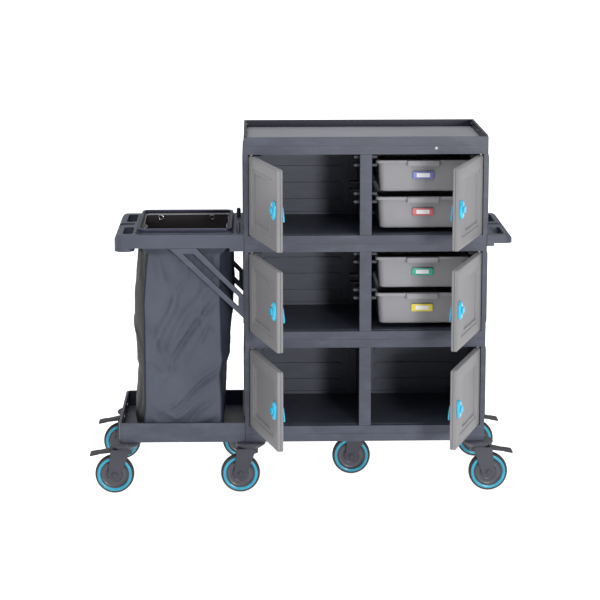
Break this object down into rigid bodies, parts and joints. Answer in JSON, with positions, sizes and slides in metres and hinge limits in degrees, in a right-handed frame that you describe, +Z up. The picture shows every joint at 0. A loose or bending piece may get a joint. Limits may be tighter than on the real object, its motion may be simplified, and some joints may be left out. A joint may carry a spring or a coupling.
{
  "type": "housekeeping cart",
  "caption": "Wheeled housekeeping cart with a cabinet of hinged doors and pull-out drawers, a top tray, a push handle and a framed bag at one end on swivel casters.",
  "frame": {"origin": "on the floor straight below the middle caster, at the centre of the cabinet in plan", "axes": "+X along the cart from the bag towards the push handle, +Y from the open door side to the back, +Z up"},
  "size_m": [1.352, 0.7915, 1.147],
  "materials": {
    "frame_plastic": "fine grained satin moulding",
    "rim_plastic": "satin",
    "caster_plastic": "satin",
    "door_plastic": "fine grained satin moulding",
    "drawer_plastic": "satin",
    "latch_plastic": "smooth",
    "label_a": "smooth",
    "label_b": "smooth",
    "label_c": "smooth",
    "label_d": "smooth",
    "bag_cloth": "coated woven cloth",
    "hoop_tube": "satin paint",
    "caster_metal": "satin",
    "wheel": "satin ring and hub with a dark grey tread",
    "steel": "bright"
  },
  "bodies": {
    "frame": {"base_deck": "frame_plastic", "mid_shelves": "frame_plastic", "top_tray": "frame_plastic", "tray_rim": "rim_plastic", "side_panels": "frame_plastic", "dividers": "frame_plastic", "back_panels": "frame_plastic", "drawer_runners": "caster_plastic", "push_handle": "frame_plastic", "bag_frame": "frame_plastic", "bag_hoop": "hoop_tube", "bag": "bag_cloth", "bag_platform": "frame_plastic", "bag_braces": "frame_plastic", "caster_housings": "caster_plastic", "frame_fasteners": "steel"},
    "caster_fl": {"fork_fl": "caster_metal"},
    "roller_fl": {"wheel_fl": "wheel"},
    "caster_rl": {"fork_rl": "caster_metal"},
    "roller_rl": {"wheel_rl": "wheel"},
    "caster_fm": {"fork_fm": "caster_metal"},
    "roller_fm": {"wheel_fm": "wheel"},
    "caster_rm": {"fork_rm": "caster_metal"},
    "roller_rm": {"wheel_rm": "wheel"},
    "caster_fr": {"fork_fr": "caster_metal"},
    "roller_fr": {"wheel_fr": "wheel"},
    "caster_rr": {"fork_rr": "caster_metal"},
    "roller_rr": {"wheel_rr": "wheel"},
    "caster_mid": {"fork_mid": "caster_metal"},
    "roller_mid": {"wheel_mid": "wheel"},
    "brake_fl": {"pedal_fl": "frame_plastic"},
    "brake_rl": {"pedal_rl": "frame_plastic"},
    "brake_fr": {"pedal_fr": "frame_plastic"},
    "brake_rr": {"pedal_rr": "frame_plastic"},
    "drawer_body_a": {"drawer_a": "drawer_plastic", "label_a": "label_a"},
    "drawer_body_b": {"drawer_b": "drawer_plastic", "label_b": "label_b"},
    "drawer_body_c": {"drawer_c": "drawer_plastic", "label_c": "label_c"},
    "drawer_body_d": {"drawer_d": "drawer_plastic", "label_d": "label_d"},
    "door_body_left_top": {"door_left_top": "door_plastic", "plate_left_top": "latch_plastic"},
    "catch_left_top": {"latch_left_top": "latch_plastic"},
    "door_body_left_mid": {"door_left_mid": "door_plastic", "plate_left_mid": "latch_plastic"},
    "catch_left_mid": {"latch_left_mid": "latch_plastic"},
    "door_body_left_low": {"door_left_low": "door_plastic", "plate_left_low": "latch_plastic"},
    "catch_left_low": {"latch_left_low": "latch_plastic"},
    "door_body_right_top": {"door_right_top": "door_plastic", "plate_right_top": "latch_plastic"},
    "catch_right_top": {"latch_right_top": "latch_plastic"},
    "door_body_right_mid": {"door_right_mid": "door_plastic", "plate_right_mid": "latch_plastic"},
    "catch_right_mid": {"latch_right_mid": "latch_plastic"},
    "door_body_right_low": {"door_right_low": "door_plastic", "plate_right_low": "latch_plastic"},
    "catch_right_low": {"latch_right_low": "latch_plastic"}
  },
  "joints": [
    {"name": "swivel_fl", "type": "hinge", "parent": "frame", "child": "caster_fl", "pos_m": [-0.766, -0.2025, 0.15], "axis": [0, 0, 1], "continuous": true},
    {"name": "roll_fl", "type": "hinge", "parent": "caster_fl", "child": "roller_fl", "pos_m": [-0.799, -0.2025, 0.0625], "axis": [0, 1, 0], "continuous": true},
    {"name": "swivel_rl", "type": "hinge", "parent": "frame", "child": "caster_rl", "pos_m": [-0.766, 0.2025, 0.15], "axis": [0, 0, 1], "continuous": true},
    {"name": "roll_rl", "type": "hinge", "parent": "caster_rl", "child": "roller_rl", "pos_m": [-0.799, 0.2025, 0.0625], "axis": [0, 1, 0], "continuous": true},
    {"name": "swivel_fm", "type": "hinge", "parent": "frame", "child": "caster_fm", "pos_m": [-0.364, -0.2025, 0.15], "axis": [0, 0, 1], "continuous": true},
    {"name": "roll_fm", "type": "hinge", "parent": "caster_fm", "child": "roller_fm", "pos_m": [-0.397, -0.2025, 0.0625], "axis": [0, 1, 0], "continuous": true},
    {"name": "swivel_rm", "type": "hinge", "parent": "frame", "child": "caster_rm", "pos_m": [-0.364, 0.2025, 0.15], "axis": [0, 0, 1], "continuous": true},
    {"name": "roll_rm", "type": "hinge", "parent": "caster_rm", "child": "roller_rm", "pos_m": [-0.397, 0.2025, 0.0625], "axis": [0, 1, 0], "continuous": true},
    {"name": "swivel_fr", "type": "hinge", "parent": "frame", "child": "caster_fr", "pos_m": [0.364, -0.2025, 0.15], "axis": [0, 0, 1], "continuous": true},
    {"name": "roll_fr", "type": "hinge", "parent": "caster_fr", "child": "roller_fr", "pos_m": [0.397, -0.2025, 0.0625], "axis": [0, 1, 0], "continuous": true},
    {"name": "swivel_rr", "type": "hinge", "parent": "frame", "child": "caster_rr", "pos_m": [0.364, 0.2025, 0.15], "axis": [0, 0, 1], "continuous": true},
    {"name": "roll_rr", "type": "hinge", "parent": "caster_rr", "child": "roller_rr", "pos_m": [0.397, 0.2025, 0.0625], "axis": [0, 1, 0], "continuous": true},
    {"name": "swivel_mid", "type": "hinge", "parent": "frame", "child": "caster_mid", "pos_m": [0, 0, 0.15], "axis": [0, 0, 1], "continuous": true},
    {"name": "roll_mid", "type": "hinge", "parent": "caster_mid", "child": "roller_mid", "pos_m": [-0.033, 0, 0.0625], "axis": [0, 1, 0], "continuous": true},
    {"name": "brake_press_fl", "type": "hinge", "parent": "caster_fl", "child": "brake_fl", "pos_m": [-0.803, -0.2025, 0.139], "axis": [0, -1, 0], "range_deg": [0, 14]},
    {"name": "brake_press_rl", "type": "hinge", "parent": "caster_rl", "child": "brake_rl", "pos_m": [-0.803, 0.2025, 0.139], "axis": [0, -1, 0], "range_deg": [0, 14]},
    {"name": "brake_press_fr", "type": "hinge", "parent": "caster_fr", "child": "brake_fr", "pos_m": [0.401, -0.2025, 0.139], "axis": [0, 1, 0], "range_deg": [0, 14]},
    {"name": "brake_press_rr", "type": "hinge", "parent": "caster_rr", "child": "brake_rr", "pos_m": [0.401, 0.2025, 0.139], "axis": [0, 1, 0], "range_deg": [0, 14]},
    {"name": "slide_a", "type": "slide", "parent": "frame", "child": "drawer_body_a", "axis": [0, -1, 0], "range_m": [0, 0.07]},
    {"name": "slide_b", "type": "slide", "parent": "frame", "child": "drawer_body_b", "axis": [0, -1, 0], "range_m": [0, 0.07]},
    {"name": "slide_c", "type": "slide", "parent": "frame", "child": "drawer_body_c", "axis": [0, -1, 0], "range_m": [0, 0.07]},
    {"name": "slide_d", "type": "slide", "parent": "frame", "child": "drawer_body_d", "axis": [0, -1, 0], "range_m": [0, 0.07]},
    {"name": "swing_left_top", "type": "hinge", "parent": "frame", "child": "door_body_left_top", "pos_m": [-0.357, -0.213, 0.959], "axis": [0, 0, -1], "range_deg": [-75.5, 14.5]},
    {"name": "turn_left_top", "type": "hinge", "parent": "door_body_left_top", "child": "catch_left_top", "pos_m": [-0.27938, -0.51313, 0.959], "axis": [-0.9681, -0.2504, 0], "range_deg": [0, 90]},
    {"name": "swing_left_mid", "type": "hinge", "parent": "frame", "child": "door_body_left_mid", "pos_m": [-0.357, -0.213, 0.652], "axis": [0, 0, -1], "range_deg": [-75.5, 14.5]},
    {"name": "turn_left_mid", "type": "hinge", "parent": "door_body_left_mid", "child": "catch_left_mid", "pos_m": [-0.27938, -0.51313, 0.652], "axis": [-0.9681, -0.2504, 0], "range_deg": [0, 90]},
    {"name": "swing_left_low", "type": "hinge", "parent": "frame", "child": "door_body_left_low", "pos_m": [-0.357, -0.213, 0.345], "axis": [0, 0, -1], "range_deg": [-75.5, 14.5]},
    {"name": "turn_left_low", "type": "hinge", "parent": "door_body_left_low", "child": "catch_left_low", "pos_m": [-0.27938, -0.51313, 0.345], "axis": [-0.9681, -0.2504, 0], "range_deg": [0, 90]},
    {"name": "swing_right_top", "type": "hinge", "parent": "frame", "child": "door_body_right_top", "pos_m": [0.357, -0.213, 0.959], "axis": [0, 0, 1], "range_deg": [-71.5, 18.5]},
    {"name": "turn_right_top", "type": "hinge", "parent": "door_body_right_top", "child": "catch_right_top", "pos_m": [0.25864, -0.50698, 0.959], "axis": [-0.9483, 0.3173, 0], "range_deg": [0, 90]},
    {"name": "swing_right_mid", "type": "hinge", "parent": "frame", "child": "door_body_right_mid", "pos_m": [0.357, -0.213, 0.652], "axis": [0, 0, 1], "range_deg": [-71.5, 18.5]},
    {"name": "turn_right_mid", "type": "hinge", "parent": "door_body_right_mid", "child": "catch_right_mid", "pos_m": [0.25864, -0.50698, 0.652], "axis": [-0.9483, 0.3173, 0], "range_deg": [0, 90]},
    {"name": "swing_right_low", "type": "hinge", "parent": "frame", "child": "door_body_right_low", "pos_m": [0.357, -0.213, 0.345], "axis": [0, 0, 1], "range_deg": [-71.5, 18.5]},
    {"name": "turn_right_low", "type": "hinge", "parent": "door_body_right_low", "child": "catch_right_low", "pos_m": [0.25864, -0.50698, 0.345], "axis": [-0.9483, 0.3173, 0], "range_deg": [0, 90]}
  ]
}
